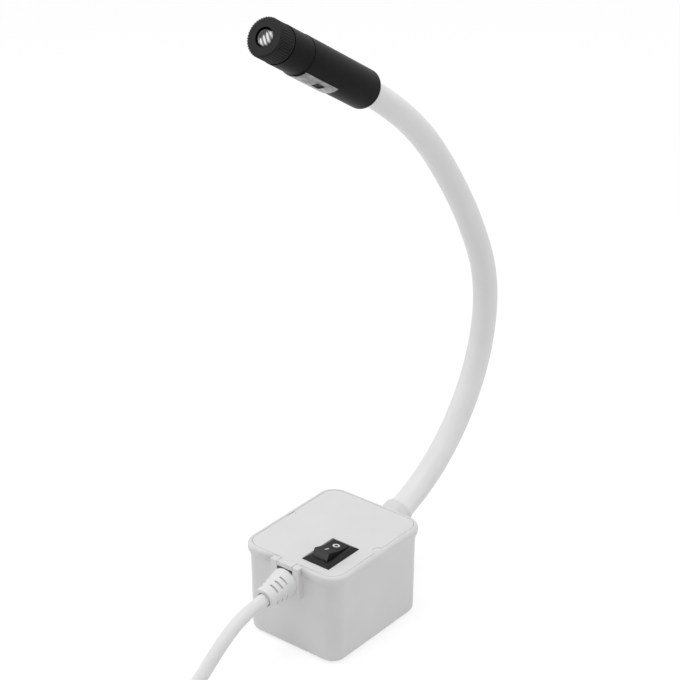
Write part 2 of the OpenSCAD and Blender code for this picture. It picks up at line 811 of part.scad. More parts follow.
// Neck: a sleeve over a steel core, cut into links that turn on round ends
module neck_rod(k, r) {
  translate(arc_centre(k)) rotate([90, 0, 0]) rotate([0, 0, heading(k - 1) - 90])
    rotate_extrude(angle = link_bends[k - 1]) translate([arc_r(k), 0]) circle(r);
}
module neck_end(k, r) {
  intersection() {
    translate(pivot(k)) sphere(ball_r);
    along(pivot(k) - end_overlap * ahead(heading(k)), heading(k)) cylinder(r = r, h = 2 * ball_r);
  }
}
module neck_stub(r, reach) {
  translate([0, 0, -end_overlap]) cylinder(r = r, h = end_overlap + reach);
}
module neck_link(k, r, bore, reach) {
  difference() {
    union() {
      neck_rod(k, r);
      if (k < links) neck_end(k, r - end_step);
      else if (reach > 0) on_head() neck_stub(r - end_step, reach);
    }
    neck_rod(k, bore);
    if (k < links || reach > 0)
      along(pivot(k), heading(k)) neck_stub(bore - end_step, 2 * ball_r + reach);
    translate(pivot(k - 1)) sphere(cup_r);
  }
}
module neck_sleeve(k) {
  color("white") neck_link(k, sleeve_r, sleeve_in, 0);
}
module neck_core(k) {
  color("silver") neck_link(k, core_r, bore_r, k < links ? 0 : core_in);
}
module neck_sleeve_root() {
  color("white") difference() {
    union() {
      on_socket(shoulder - fit) cylinder(r = sleeve_r, h = shoulder - fit);
      neck_end(0, sleeve_r);
    }
    on_socket(shoulder + 1) cylinder(r = sleeve_in, h = shoulder + 2 * ball_r);
  }
}
module neck_core_root() {
  color("silver") difference() {
    union() {
      on_socket(root_in) cylinder(r = core_r, h = root_in);
      neck_end(0, core_r);
    }
    on_socket(root_in + 1) cylinder(r = bore_r, h = root_in + 2 * ball_r);
  }
}
module neck_washer() {
  color("gainsboro") on_socket(boss_in + washer_t) pipe(washer_r, core_r + fit, washer_t);
}
module neck_nut() {
  color("gainsboro") on_socket(boss_in + washer_t + nut_t) difference() {
    rotate([0, 0, 30]) cylinder(d = nut_af / cos(30), h = nut_t, $fn = 6);
    translate([0, 0, -1]) cylinder(r = core_r + fit, h = nut_t + 2);
  }
}

// Head, along its own axis
module tip_ring() {
  color("gainsboro") on_head() translate([0, 0, -tip_ring_t]) pipe(tip_ring_r, sleeve_r + fit, tip_ring_t);
}
module tip_nut() {
  color("gainsboro") on_head() translate([0, 0, rear_t]) difference() {
    pipe(tip_nut_r, core_r + fit, tip_nut_t);
    translate([-tip_nut_r, -0.8, tip_nut_t - 1.2]) cube([2 * tip_nut_r, 1.6, 2]);
  }
}
module head_barrel() {
  color("#1c1c1e") on_head() difference() {
    rotate_extrude() {
      translate([0, rear_round]) square([head_r, barrel_len - rear_round]);
      square([head_r - rear_round, rear_round]);
      translate([head_r - rear_round, rear_round]) circle(rear_round);
    }
    translate([0, 0, rear_t]) cylinder(r = barrel_in, h = head_len);
    translate([0, 0, -1]) cylinder(r = core_r + fit, h = head_len);
  }
}
module head_plate() {
  color("silver") on_head() difference() {
    translate([0, 0, badge_z]) rotate([0, 0, 180 - badge_span / 2]) rotate_extrude(angle = badge_span)
      translate([head_r + 0.02, 0]) square([badge_t, badge_len]);
    translate([0, 0, badge_window_z]) rotate([0, 0, badge_window_turn - badge_window_span / 2])
      rotate_extrude(angle = badge_window_span) square([head_d, badge_window]);
  }
}
module heat_sink() {
  color("silver") on_head() translate([0, 0, sink_z]) difference() {
    cylinder(r = barrel_in - fit, h = sink_len);
    for (y = [-1, 1]) translate([0, y * head_wire_y, -1])
      cylinder(r = wire_r + lid_gap, h = sink_len + 2);
    for (z = [2 : 4 : sink_len - 3]) translate([0, 0, z]) rotate_extrude()
      translate([barrel_in - 1.5, 0]) square([2, 2]);
  }
}
module led_board() {
  color("white") on_head() translate([0, 0, sink_top]) difference() {
    cylinder(r = led_board_r, h = led_board_t);
    for (y = [-1, 1]) translate([0, y * head_wire_y, -1])
      cylinder(r = wire_r + lid_gap, h = led_board_t);
  }
}
module led_chip() {
  color("gold") on_head() translate([-led_size / 2, -led_size / 2, sink_top + led_board_t])
    cube([led_size, led_size, led_t]);
}
module head_wires() {
  color("crimson") on_head() for (y = [-1, 1]) translate([0, y * head_wire_y, core_in - wire_in])
    cylinder(r = wire_r, h = sink_top + led_board_t - 1 - core_in + wire_in);
}
module front_tube() {
  color("#202022") on_head() difference() {
    union() {
      translate([0, 0, front_z - spigot_len]) cylinder(r = spigot_r, h = spigot_len + eps);
      translate([0, 0, front_z]) cylinder(d = front_d, h = front_len);
      translate([0, 0, front_z + front_len - eps]) cylinder(r = neck_r, h = nose_len);
    }
    translate([0, 0, front_z - spigot_len - 1]) cylinder(r = tube_in, h = head_len);
    for (a = [0, 180]) rotate([0, 0, a]) translate([0, -lug_w / 2 - 0.1, lug_z - focus_travel - 0.2])
      cube([head_d, lug_w + 0.2, head_len]);
  }
}
module o_ring() {
  color("black") on_head() translate([0, 0, front_z + front_len + fit])
    pipe(neck_r + ring_wire, neck_r + fit, groove - 2 * fit);
}
function rib_outline(n, r, h) = [
  for (k = [0 : n - 1], s = [0 : 3])
    let (a = 360 * (k + [0, 0.3, 0.5, 0.8][s]) / n, q = s == 1 || s == 2 ? r : r - h)
    q * [cos(a), sin(a)]
];
module focus_bezel() {
  edge = 0.5;
  body_r = bezel_r - rib_h;
  rib_len = knurl_len - 2 * edge;
  color("#161618") on_head() translate([0, 0, bezel_z]) difference() {
    union() {
      cylinder(r = body_r, h = knurl_len - edge);
      translate([0, 0, knurl_len - edge - eps]) cylinder(r1 = body_r, r2 = body_r - edge, h = edge);
      translate([0, 0, edge]) linear_extrude(rib_len) polygon(rib_outline(rib_count, bezel_r, rib_h));
    }
    translate([0, 0, -1]) cylinder(r = bezel_in, h = knurl_len + 1 - front_wall);
    translate([0, 0, knurl_len - front_wall - eps])
      cylinder(d1 = lens_open, d2 = lens_open + edge, h = front_wall + 2 * eps);
  }
}
module lens_carrier() {
  color("dimgray") on_head() difference() {
    union() {
      translate([0, 0, carrier_front - carrier_len]) cylinder(r = carrier_r, h = carrier_len);
      intersection() {
        translate([-head_d, -lug_w / 2, lug_z]) cube([2 * head_d, lug_w, lug_len]);
        translate([0, 0, lug_z - 1]) cylinder(r = lug_r, h = lug_len + 2);
      }
    }
    translate([0, 0, carrier_front - lens_t]) cylinder(r = carrier_in, h = head_len);
    translate([0, 0, carrier_front - carrier_len - 1]) cylinder(r = carrier_in - lens_seat, h = head_len);
  }
}
module lens() {
  ridge = 1.2;
  color("lightcyan", 0.6) on_head() difference() {
    translate([0, 0, carrier_front - lens_t]) cylinder(d = lens_d, h = lens_t - 0.2);
    for (y = [-3 : 3]) translate([0, y * ridge, carrier_front - lens_t]) rotate([0, 90, 0])
      cylinder(r = 0.4, h = 2 * lens_d, center = true);
  }
}

// Mains cord, its hank, tie and plug
module cord_lead() {
  color("white") tube(lead_route, cord_r, 10, [0, 1, 0]);
}
module cord_coil() {
  color("white") tube(coil_route, cord_r, 6, [0, 0, 1]);
}
module cord_tail() {
  color("white") tube(tail_route, cord_r, 10, [0, 1, 0]);
}
module cord_tie() {
  passes = [for (k = [0 : coil_loops - 1]) hank_r(k + 0.5 + run_share / 2)];
  near = min(passes) - cord_r - tie_gap - tie_slack / 2;
  far = max(passes) + cord_r + tie_gap + tie_slack / 2;
  inner = [far - near, hank_rise + cord_d + 2 * tie_gap];
  tie_at = [hank_x - (hank_run + tie_w) / 2, hank_y - (near + far) / 2, hank_low + hank_rise / 2];
  color("black") translate(tie_at) rotate([90, 0, 90]) linear_extrude(tie_w) difference() {
    square(inner + 2 * [tie_t, tie_t], center = true);
    square(inner, center = true);
  }
}
plug_side = 8.25;
plug_cheek = 5;
plug_w = pin_gap + 2 * plug_side;
plug_nose = plug_w - 2 * plug_cheek;
plug_shoulder = 12;
plug_taper = 6;
stub_in = 8;
module plug_body() {
  rib_step = relief_len / 6;
  color("white") translate([plug_x, tail_start[1], plug_z]) rotate([0, 0, 180]) {
    difference() {
      translate([0, 0, -plug_t / 2]) linear_extrude(plug_t) polygon([
        [0, -cord_d], [plug_shoulder, -plug_w / 2], [plug_l - plug_taper, -plug_w / 2],
        [plug_l, -plug_nose / 2], [plug_l, plug_nose / 2], [plug_l - plug_taper, plug_w / 2],
        [plug_shoulder, plug_w / 2], [0, cord_d]
      ]);
      for (y = [-1, 1]) translate([plug_l - stub_in, y * pin_gap / 2, 0]) rotate([0, 90, 0])
        cylinder(d = pin_d - 1 + 2 * fit, h = 2 * stub_in);
    }
    translate([-relief_len, 0, 0]) rotate([0, 90, 0]) difference() {
      cylinder(r1 = cord_r + 0.7, r2 = cord_r + 2.6, h = relief_len + eps);
      for (k = [1 : 5]) translate([0, 0, k * rib_step]) rotate_extrude()
        translate([cord_r + 0.6 + 1.9 * k / 6, 0]) square([3, rib_step / 3]);
    }
  }
}
module plug_pins() {
  color("silver") for (y = [-1, 1])
    translate([plug_x - plug_l, tail_start[1] + y * pin_gap / 2, plug_z]) rotate([0, -90, 0]) {
      translate([0, 0, -stub_in]) cylinder(d = pin_d - 1, h = stub_in + eps);
      cylinder(d = pin_d, h = pin_len - pin_d / 2);
      translate([0, 0, pin_len - pin_d / 2]) sphere(d = pin_d);
    }
}

base_tub();
base_lid();
base_magnets();
magnet_plate();
plate_screws();
switch_housing();
switch_rocker();
rocker_marks();
switch_terminals();
driver_board();
driver_transformer();
driver_capacitor();
driver_chip();
board_screws();
cord_gland();
mains_wires();
lamp_wires();
neck_washer();
neck_nut();
neck_sleeve_root();
neck_sleeve(1);  // neck_sleeve_1
neck_sleeve(2);  // neck_sleeve_2
neck_sleeve(3);  // neck_sleeve_3
neck_sleeve(4);  // neck_sleeve_4
neck_sleeve(5);  // neck_sleeve_5
neck_sleeve(6);  // neck_sleeve_6
neck_sleeve(7);  // neck_sleeve_7
neck_sleeve(8);  // neck_sleeve_8
neck_core_root();
neck_core(1);  // neck_core_1
neck_core(2);  // neck_core_2
neck_core(3);  // neck_core_3
neck_core(4);  // neck_core_4
neck_core(5);  // neck_core_5
neck_core(6);  // neck_core_6
neck_core(7);  // neck_core_7
neck_core(8);  // neck_core_8
tip_ring();
tip_nut();
head_barrel();
head_plate();
heat_sink();
led_board();
led_chip();
head_wires();
front_tube();
o_ring();
focus_bezel();
lens_carrier();
lens();
cord_lead();
cord_coil();
cord_tail();
cord_tie();
plug_body();
plug_pins();
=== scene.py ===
import math

import bpy
from mathutils import Matrix, Vector


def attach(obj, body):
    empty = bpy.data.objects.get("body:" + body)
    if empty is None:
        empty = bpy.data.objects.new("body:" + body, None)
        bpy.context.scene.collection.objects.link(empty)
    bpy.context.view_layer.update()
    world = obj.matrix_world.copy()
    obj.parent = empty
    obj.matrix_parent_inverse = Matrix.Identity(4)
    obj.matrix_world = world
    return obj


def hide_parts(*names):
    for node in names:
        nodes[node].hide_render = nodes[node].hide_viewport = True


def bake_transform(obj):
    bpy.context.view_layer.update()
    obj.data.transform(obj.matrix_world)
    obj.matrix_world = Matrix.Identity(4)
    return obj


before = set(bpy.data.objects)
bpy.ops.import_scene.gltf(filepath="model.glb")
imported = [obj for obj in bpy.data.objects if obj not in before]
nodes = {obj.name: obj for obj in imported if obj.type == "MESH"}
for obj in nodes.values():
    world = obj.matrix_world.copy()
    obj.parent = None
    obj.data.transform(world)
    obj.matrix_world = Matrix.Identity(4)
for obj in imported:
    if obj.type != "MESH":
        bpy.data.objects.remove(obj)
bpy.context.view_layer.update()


# Base tub
# The box that holds the magnets and the driver is one moulding of white ABS with a fine satin skin.
# Its bottom edge is rounded, its walls taper, and a rolled rim stands out round the lid.
def new_effect(name, takes, gives):
    group = bpy.data.node_groups.new(name, "ShaderNodeTree")
    for label, kind, value in takes:
        socket = group.interface.new_socket(name=label, in_out="INPUT", socket_type="NodeSocket" + kind)
        socket.default_value = value
    for label, kind in gives:
        group.interface.new_socket(name=label, in_out="OUTPUT", socket_type="NodeSocket" + kind)
    return group, group.nodes.new("NodeGroupInput"), group.nodes.new("NodeGroupOutput")


def add_node(tree, kind, values=None, **settings):
    node = tree.nodes.new(kind)
    for name, value in settings.items():
        setattr(node, name, value)
    for socket, value in (values or {}).items():
        if isinstance(value, bpy.types.NodeSocket):
            tree.links.new(value, node.inputs[socket])
        else:
            node.inputs[socket].default_value = value
    return node


def noise_at(tree, place, size, detail):
    node = add_node(tree, "ShaderNodeTexNoise", {"Vector": place, "Scale": size, "Detail": detail})
    return node.outputs[0]


def spread(tree, value, low, high, to_low, to_high):
    node = add_node(tree, "ShaderNodeMapRange", {0: value, 1: low, 2: high, 3: to_low, 4: to_high})
    return node.outputs[0]


def blend_colours(tree, share, first, second):
    node = add_node(tree, "ShaderNodeMix", {0: share, 6: first, 7: second}, data_type="RGBA")
    return node.outputs[2]


skin, skin_in, skin_out = new_effect(
    "Moulded skin",
    [
        ("Tone", "Color", (0.8, 0.8, 0.8, 1.0)),
        ("Shade", "Color", (0.7, 0.7, 0.7, 1.0)),
        ("Cloud", "Float", 60.0),
        ("Grain", "Float", 2500.0),
        ("Rough Low", "Float", 0.4),
        ("Rough High", "Float", 0.5),
    ],
    [("Colour", "Color"), ("Roughness", "Float"), ("Height", "Float")],
)
skin_place = skin.nodes.new("ShaderNodeTexCoord").outputs["Object"]
skin_cloud = noise_at(skin, skin_place, skin_in.outputs["Cloud"], 4.0)
skin_grain = noise_at(skin, skin_place, skin_in.outputs["Grain"], 2.0)
skin_share = spread(skin, skin_cloud, 0.35, 0.65, 0.0, 1.0)
skin_tint = blend_colours(skin, skin_share, skin_in.outputs["Tone"], skin_in.outputs["Shade"])
skin_rough = spread(skin, skin_grain, 0.3, 0.7, skin_in.outputs["Rough Low"], skin_in.outputs["Rough High"])
skin.links.new(skin_tint, skin_out.inputs["Colour"])
skin.links.new(skin_rough, skin_out.inputs["Roughness"])
skin.links.new(skin_grain, skin_out.inputs["Height"])


def new_finish(name, effect, values, bump=0.1, depth=0.0001, **constants):
    material = bpy.data.materials.new(name)
    material.use_nodes = True
    tree = material.node_tree
    shader = tree.nodes["Principled BSDF"]
    placed = tree.nodes.new("ShaderNodeGroup")
    placed.node_tree = effect
    for label, value in values.items():
        placed.inputs[label].default_value = value
    relief = add_node(tree, "ShaderNodeBump", {"Strength": bump, "Distance": depth})
    tree.links.new(placed.outputs["Colour"], shader.inputs["Base Color"])
    tree.links.new(placed.outputs["Roughness"], shader.inputs["Roughness"])
    tree.links.new(placed.outputs["Height"], relief.inputs["Height"])
    tree.links.new(relief.outputs["Normal"], shader.inputs["Normal"])
    for label, value in constants.items():
        shader.inputs[label.replace("_", " ")].default_value = value
    return material


def grey(level, warmth=0.0):
    return (level * (1 + warmth), level, level * (1 - warmth), 1.0)


# Turns a solid's own split faces into one skin that is smooth except at its sharp edges
merge_gap = 0.000002
sharp_turn = math.radians(28)
soft_skin = bpy.data.node_groups.new("Joined skin", "GeometryNodeTree")
soft_skin.interface.new_socket(name="Geometry", in_out="INPUT", socket_type="NodeSocketGeometry")
soft_skin.interface.new_socket(name="Geometry", in_out="OUTPUT", socket_type="NodeSocketGeometry")
soft_in = soft_skin.nodes.new("NodeGroupInput")
soft_out = soft_skin.nodes.new("NodeGroupOutput")
soft_bare = add_node(
    soft_skin, "GeometryNodeRemoveAttribute", {"Geometry": soft_in.outputs[0], "Name": "custom_normal"}
)
soft_one = add_node(
    soft_skin, "GeometryNodeMergeByDistance", {"Geometry": soft_bare.outputs[0], "Distance": merge_gap}
)
soft_faces = add_node(
    soft_skin,
    "GeometryNodeSetShadeSmooth",
    {"Geometry": soft_one.outputs[0], "Shade Smooth": True},
    domain="FACE",
)
soft_angle = soft_skin.nodes.new("GeometryNodeInputMeshEdgeAngle")
soft_test = add_node(
    soft_skin, "FunctionNodeCompare", {0: soft_angle.outputs[0], 1: sharp_turn}, operation="LESS_EQUAL"
)
soft_edges = add_node(
    soft_skin,
    "GeometryNodeSetShadeSmooth",
    {"Geometry": soft_faces.outputs[0], "Shade Smooth": soft_test.outputs[0]},
    domain="EDGE",
)
soft_skin.links.new(soft_edges.outputs[0], soft_out.inputs[0])
bevel_turn = math.radians(40)


def dress(name, material, edge=0.0, steps=2):
    """Gives a solid its finish and one smooth skin, with its sharp edges rounded by the given width."""
    node = nodes[name]
    node.data.materials.clear()
    node.data.materials.append(material)
    joined = node.modifiers.new("Joined skin", "NODES")
    joined.node_group = soft_skin
    if edge > 0:
        rounded = node.modifiers.new("Rounded edges", "BEVEL")
        rounded.width = edge
        rounded.segments = steps
        rounded.limit_method = "ANGLE"
        rounded.angle_limit = bevel_turn
        rounded.harden_normals = True
    return node


base_white = new_finish(
    "base_white",
    skin,
    {
        "Tone": grey(0.78, 0.004),
        "Shade": grey(0.755, 0.004),
        "Cloud": 45.0,
        "Grain": 3200.0,
        "Rough Low": 0.38,
        "Rough High": 0.5,
    },
    bump=0.12,
    depth=0.00004,
    Specular_IOR_Level=0.4,
)
dress("base_tub", base_white)


def new_piece(name, points, faces):
    """Mesh of the given points and faces, flat only on its many-sided ends, linked to the scene."""
    mesh = bpy.data.meshes.new(name)
    mesh.from_pydata(points, [], faces)
    mesh.validate()
    for face in mesh.polygons:
        face.use_smooth = len(face.vertices) < 5
    piece = bpy.data.objects.new(name, mesh)
    bpy.context.scene.collection.objects.link(piece)
    return piece


rim_length = 0.0625
rim_width = 0.0525
rim_corner = 0.008
rim_height = 0.0445
rim_open = 0.0058
corner_turns = 14
# The rolled rim's section: how far out from the wall's top edge, and how far up or down
roll_section = [
    (-0.00134, -0.0012),
    (-0.00134, 0.00002),
    (-0.0011, 0.00014),
    (-0.0007, 0.00016),
    (-0.0003, 0.0),
    (0.00008, -0.00028),
    (0.00036, -0.00072),
    (0.00052, -0.0013),
    (0.00058, -0.0021),
    (0.00054, -0.003),
    (0.0004, -0.0037),
    (0.00014, -0.0042),
    (-0.0002, -0.0045),
    (-0.0007, -0.0047),
    (-0.0012, -0.004),
]
straight_x = rim_length / 2 - rim_corner
straight_y = rim_width / 2 - rim_corner
roll_stations = [(Vector((-straight_x, rim_open, rim_height)), math.pi)]
for corner, (side_x, side_y) in enumerate([(-1, 1), (1, 1), (1, -1), (-1, -1)]):
    corner_middle = Vector((side_x * straight_x, side_y * straight_y, rim_height))
    for k in range(corner_turns + 1):
        roll_stations.append((corner_middle, math.pi - (corner + k / corner_turns) * math.pi / 2))
roll_stations.append((Vector((-straight_x, -rim_open, rim_height)), math.pi))
roll_points = []
for middle, angle in roll_stations:
    outward = Vector((math.cos(angle), math.sin(angle), 0.0))
    for out, up in roll_section:
        roll_points.append(middle + outward * (rim_corner + out) + Vector((0.0, 0.0, up)))
section_count = len(roll_section)
roll_faces = [tuple(range(section_count))]
for k in range(len(roll_stations) - 1):
    for s in range(section_count):
        beside = (s + 1) % section_count
        here = k * section_count
        there = here + section_count
        roll_faces.append((here + beside, here + s, there + s, there + beside))
roll_faces.append(tuple(reversed(range(len(roll_points) - section_count, len(roll_points)))))
rim_roll = new_piece("rim_roll", roll_points, roll_faces)
rim_roll.data.materials.append(base_white)
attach(rim_roll, "base")


# Magnets and their steel plate
# Two sintered blocks sit in the floor's frame, showing through two windows in the bottom face.
# A zinc-plated steel plate closes the frame from above, held by two pan-head screws.
magnet_grey = new_finish(
    "magnet_grey",
    skin,
    {
        "Tone": grey(0.13, 0.03),
        "Shade": grey(0.08, 0.03),
        "Cloud": 220.0,
        "Grain": 4200.0,
        "Rough Low": 0.5,
        "Rough High": 0.75,
    },
    bump=0.35,
    depth=0.00005,
    Metallic=0.4,
)
dress("base_magnets", magnet_grey, edge=0.0003)


def dot(tree, first, second):
    node = add_node(tree, "ShaderNodeVectorMath", {0: first, 1: second}, operation="DOT_PRODUCT")
    return node.outputs[1]


def vector_math(tree, operation, first, second):
    node = add_node(tree, "ShaderNodeVectorMath", {0: first, 1: second}, operation=operation)
    return node.outputs[0]


def scaled(tree, vector, size):
    node = add_node(tree, "ShaderNodeVectorMath", {0: vector, 3: size}, operation="SCALE")
    return node.outputs[0]


def number_math(tree, operation, first, second=0.0):
    node = add_node(tree, "ShaderNodeMath", {0: first, 1: second}, operation=operation)
    return node.outputs[0]


lines, lines_in, lines_out = new_effect(
    "Drawn lines",
    [
        ("Tone", "Color", (0.7, 0.7, 0.7, 1.0)),
        ("Shade", "Color", (0.5, 0.5, 0.5, 1.0)),
        ("Axis", "Vector", (1.0, 0.0, 0.0)),
        ("Along", "Float", 60.0),
        ("Across", "Float", 4000.0),
        ("Rough Low", "Float", 0.25),
        ("Rough High", "Float", 0.4),
    ],
    [("Colour", "Color"), ("Roughness", "Float"), ("Height", "Float")],
)
lines_place = lines.nodes.new("ShaderNodeTexCoord").outputs["Object"]
lines_axis = lines_in.outputs["Axis"]
lines_run = scaled(lines, lines_axis, dot(lines, lines_place, lines_axis))
lines_side = vector_math(lines, "SUBTRACT", lines_place, lines_run)
lines_long = scaled(lines, lines_run, lines_in.outputs["Along"])
lines_wide = scaled(lines, lines_side, lines_in.outputs["Across"])
lines_drawn = vector_math(lines, "ADD", lines_long, lines_wide)
lines_streak = noise_at(lines, lines_drawn, 1.0, 3.0)
lines_cloud = noise_at(lines, lines_place, 150.0, 3.0)
lines_sum = number_math(lines, "ADD", lines_streak, lines_cloud)
lines_share = spread(lines, lines_sum, 0.7, 1.3, 0.0, 1.0)
lines_tint = blend_colours(lines, lines_share, lines_in.outputs["Tone"], lines_in.outputs["Shade"])
lines_rough = spread(
    lines, lines_streak, 0.3, 0.7, lines_in.outputs["Rough Low"], lines_in.outputs["Rough High"]
)
lines.links.new(lines_tint, lines_out.inputs["Colour"])
lines.links.new(lines_rough, lines_out.inputs["Roughness"])
lines.links.new(lines_streak, lines_out.inputs["Height"])

plated_steel = new_finish(
    "plated_steel",
    lines,
    {"Tone": grey(0.62, 0.01), "Shade": grey(0.5, 0.02), "Rough Low": 0.28, "Rough High": 0.45},
    bump=0.1,
    depth=0.00002,
    Metallic=1.0,
)
dress("magnet_plate", plated_steel, edge=0.0002)
dress("plate_screws", plated_steel, edge=0.0002)


# Driver board
# A green glass-fibre board on four posts turns the mains into the lamp's low voltage.
# It carries a taped transformer, a sleeved capacitor and a small control chip, and four screws hold it.
board_green = new_finish(
    "board_green",
    skin,
    {
        "Tone": (0.03, 0.19, 0.075, 1.0),
        "Shade": (0.05, 0.26, 0.1, 1.0),
        "Cloud": 420.0,
        "Grain": 5000.0,
        "Rough Low": 0.25,
        "Rough High": 0.4,
    },
    bump=0.2,
    depth=0.00003,
)
tape_yellow = new_finish(
    "tape_yellow",
    lines,
    {
        "Tone": (0.72, 0.55, 0.09, 1.0),
        "Shade": (0.6, 0.42, 0.05, 1.0),
        "Axis": (0.0, 0.0, 1.0),
        "Along": 900.0,
        "Across": 60.0,
    },
    bump=0.2,
    depth=0.00004,
)
sleeve_navy = new_finish(
    "sleeve_navy",
    skin,
    {
        "Tone": (0.02, 0.025, 0.06, 1.0),
        "Shade": (0.03, 0.035, 0.08, 1.0),
        "Cloud": 300.0,
        "Rough Low": 0.2,
        "Rough High": 0.35,
    },
    bump=0.1,
    depth=0.00003,
)
dress("driver_board", board_green)
dress("driver_transformer", tape_yellow, edge=0.0003)
dress("driver_capacitor", sleeve_navy)
dress("driver_chip", sleeve_navy)
dress("board_screws", plated_steel, edge=0.0002)


# Rocker switch
# A bought-in rocker switch snaps into the lid: black nylon housing with a flat bezel, glossy rocker.
# The off ring and the on bar are printed white on the rocker, and two brass tabs take the wires.
switch_black = new_finish(
    "switch_black",
    skin,
    {
        "Tone": grey(0.01),
        "Shade": grey(0.014),
        "Cloud": 160.0,
        "Grain": 4200.0,
        "Rough Low": 0.26,
        "Rough High": 0.38,
    },
    bump=0.15,
    depth=0.00003,
    Specular_IOR_Level=0.22,
)
print_white = new_finish(
    "print_white",
    skin,
    {"Tone": grey(0.85), "Shade": grey(0.72), "Cloud": 1500.0, "Rough Low": 0.45, "Rough High": 0.6},
    bump=0.1,
    depth=0.00002,
)
tab_brass = new_finish(
    "tab_brass",
    lines,
    {
        "Tone": (0.78, 0.58, 0.24, 1.0),
        "Shade": (0.62, 0.43, 0.16, 1.0),
        "Axis": (0.0, 0.0, 1.0),
        "Rough Low": 0.22,
        "Rough High": 0.4,
    },
    bump=0.1,
    depth=0.00002,
    Metallic=1.0,
)
# Painted highlight: faces that look along the axis get a lighter colour, mixed in by their facing with a
# little grain
painted_ends, painted_ends_in, painted_ends_out = new_effect(
    "Painted highlight ends",
    [
        ("Tone", "Color", (0.02, 0.02, 0.02, 1.0)),
        ("End", "Color", (0.05, 0.05, 0.05, 1.0)),
        ("Axis", "Vector", (1.0, 0.0, 0.0)),
        ("Grain", "Float", 4200.0),
        ("Rough Low", "Float", 0.35),
        ("Rough High", "Float", 0.5),
    ],
    [("Colour", "Color"), ("Roughness", "Float"), ("Height", "Float")],
)
painted_ends_where = painted_ends.nodes.new("ShaderNodeTexCoord")
painted_ends_facing = dot(painted_ends, painted_ends_where.outputs["Normal"], painted_ends_in.outputs["Axis"])
painted_ends_either = number_math(painted_ends, "ABSOLUTE", painted_ends_facing)
painted_ends_grain = noise_at(painted_ends, painted_ends_where.outputs["Object"], painted_ends_in.outputs["Grain"], 2.0)
painted_ends_uneven = spread(painted_ends, painted_ends_grain, 0.3, 0.7, -0.08, 0.08)
painted_ends_sum = number_math(painted_ends, "ADD", painted_ends_either, painted_ends_uneven)
painted_ends_share = spread(painted_ends, painted_ends_sum, 0.55, 0.9, 0.0, 1.0)
painted_ends_tint = blend_colours(painted_ends, painted_ends_share, painted_ends_in.outputs["Tone"], painted_ends_in.outputs["End"])
painted_ends_rough = spread(
    painted_ends, painted_ends_grain, 0.3, 0.7, painted_ends_in.outputs["Rough Low"], painted_ends_in.outputs["Rough High"]
)
painted_ends.links.new(painted_ends_tint, painted_ends_out.inputs["Colour"])
painted_ends.links.new(painted_ends_rough, painted_ends_out.inputs["Roughness"])
painted_ends.links.new(painted_ends_grain, painted_ends_out.inputs["Height"])
# The rocker's two end faces carry a painted highlight in their colour
rocker_black = new_finish(
    "rocker_black",
    painted_ends,
    {"Tone": grey(0.012), "End": grey(0.08), "Axis": (1.0, 0.0, 0.0), "Rough Low": 0.42, "Rough High": 0.55},
    bump=0.15,
    depth=0.00003,
    Specular_IOR_Level=0.1,
)
dress("switch_housing", switch_black, edge=0.0003, steps=3)
dress("switch_rocker", rocker_black, edge=0.0004, steps=3)
dress("rocker_marks", print_white)
dress("switch_terminals", tab_brass)


# Wires inside the base
# Stranded copper in brown insulation runs from the cord to the switch and the board.
# A second pair goes from the board into the neck and up to the head.
wire_skin = new_finish(
    "wire_skin",
    skin,
    {
        "Tone": (0.3, 0.09, 0.05, 1.0),
        "Shade": (0.22, 0.06, 0.035, 1.0),
        "Cloud": 300.0,
        "Rough Low": 0.35,
        "Rough High": 0.5,
    },
    bump=0.1,
    depth=0.00003,
)
dress("mains_wires", wire_skin)
dress("lamp_wires", wire_skin)


# Base lid
# A flat plate of the same white ABS drops into the rim and snaps on four hooks.
# It has a finger notch at each side and a tongue that closes the slot over the cord's gland.
dress("base_lid", base_white, edge=0.0003, steps=2)


# Cord gland
# A strain relief of soft white PVC, moulded round the cord and slid into the slot of the end wall.
# Four rows of slits let it bend, and a flange inside the wall holds it.
soft_white = new_finish(
    "soft_white",
    skin,
    {
        "Tone": grey(0.85),
        "Shade": grey(0.82),
        "Cloud": 70.0,
        "Grain": 1800.0,
        "Rough Low": 0.42,
        "Rough High": 0.52,
    },
    bump=0.08,
    depth=0.00004,
    Specular_IOR_Level=0.4,
)
dress("cord_gland", soft_white, edge=0.00015, steps=2)


# Mains cord
# A round two-core cord in white PVC leaves the gland, comes down to the table and is put away in a hank.
# Its loops lie in three layers, and its last fold climbs to the plug, which rests on the hank.
cord_thick = 0.006
gland_tip = Vector((-0.04725, 0.0, 0.03327))
gland_droop = math.radians(8)
gland_axis = Vector((math.cos(gland_droop), 0.0, math.sin(gland_droop)))
hank_low = 0.0042
# Each step of the lead: distance from the gland's tip, and height as a share of the tip's
lead_steps = [
    (0.00575, 0.978),
    (0.01175, 0.952),
    (0.01775, 0.892),
    (0.02375, 0.794),
    (0.03175, 0.625),
    (0.04075, 0.4),
    (0.04775, 0.216),
    (0.05475, 0.081),
    (0.06275, 0.01),
    (0.07275, 0.0),
    (0.08, 0.0),
    (0.09, 0.0),
    (0.1, 0.0),
    (0.11175, 0.0),
]
lead_straight = 0.04
lead_turn = 0.07
hank_away = 0.11775
hank_loops = 5
hank_layers = 3
hank_pitch = 0.0066
hank_run = 0.062
layer_climb = 0.5
fold_radius = 3 * cord_thick
layer_loops = hank_loops / hank_layers
hank_outer = fold_radius + hank_pitch * layer_loops
hank_side = 0.02
hank_middle = hank_side - hank_outer
hank_front = gland_tip.x - hank_away
run_share = hank_run / (2 * hank_run + math.pi * (fold_radius + hank_outer))
fold_share = 0.5 - run_share
plug_height = 0.0273
plug_rise = plug_height - hank_low - hank_pitch * (hank_layers - 1)
tail_length = 0.009


def eased(share):
    held = min(max(share, 0.0), 1.0)
    return held * held * (3 - 2 * held)


def hank_radius(loop):
    layer = math.floor(loop / layer_loops)
    share = loop / layer_loops - layer
    inward = 1 - share if layer % 2 == 0 else share
    return fold_radius + hank_pitch * layer_loops * inward


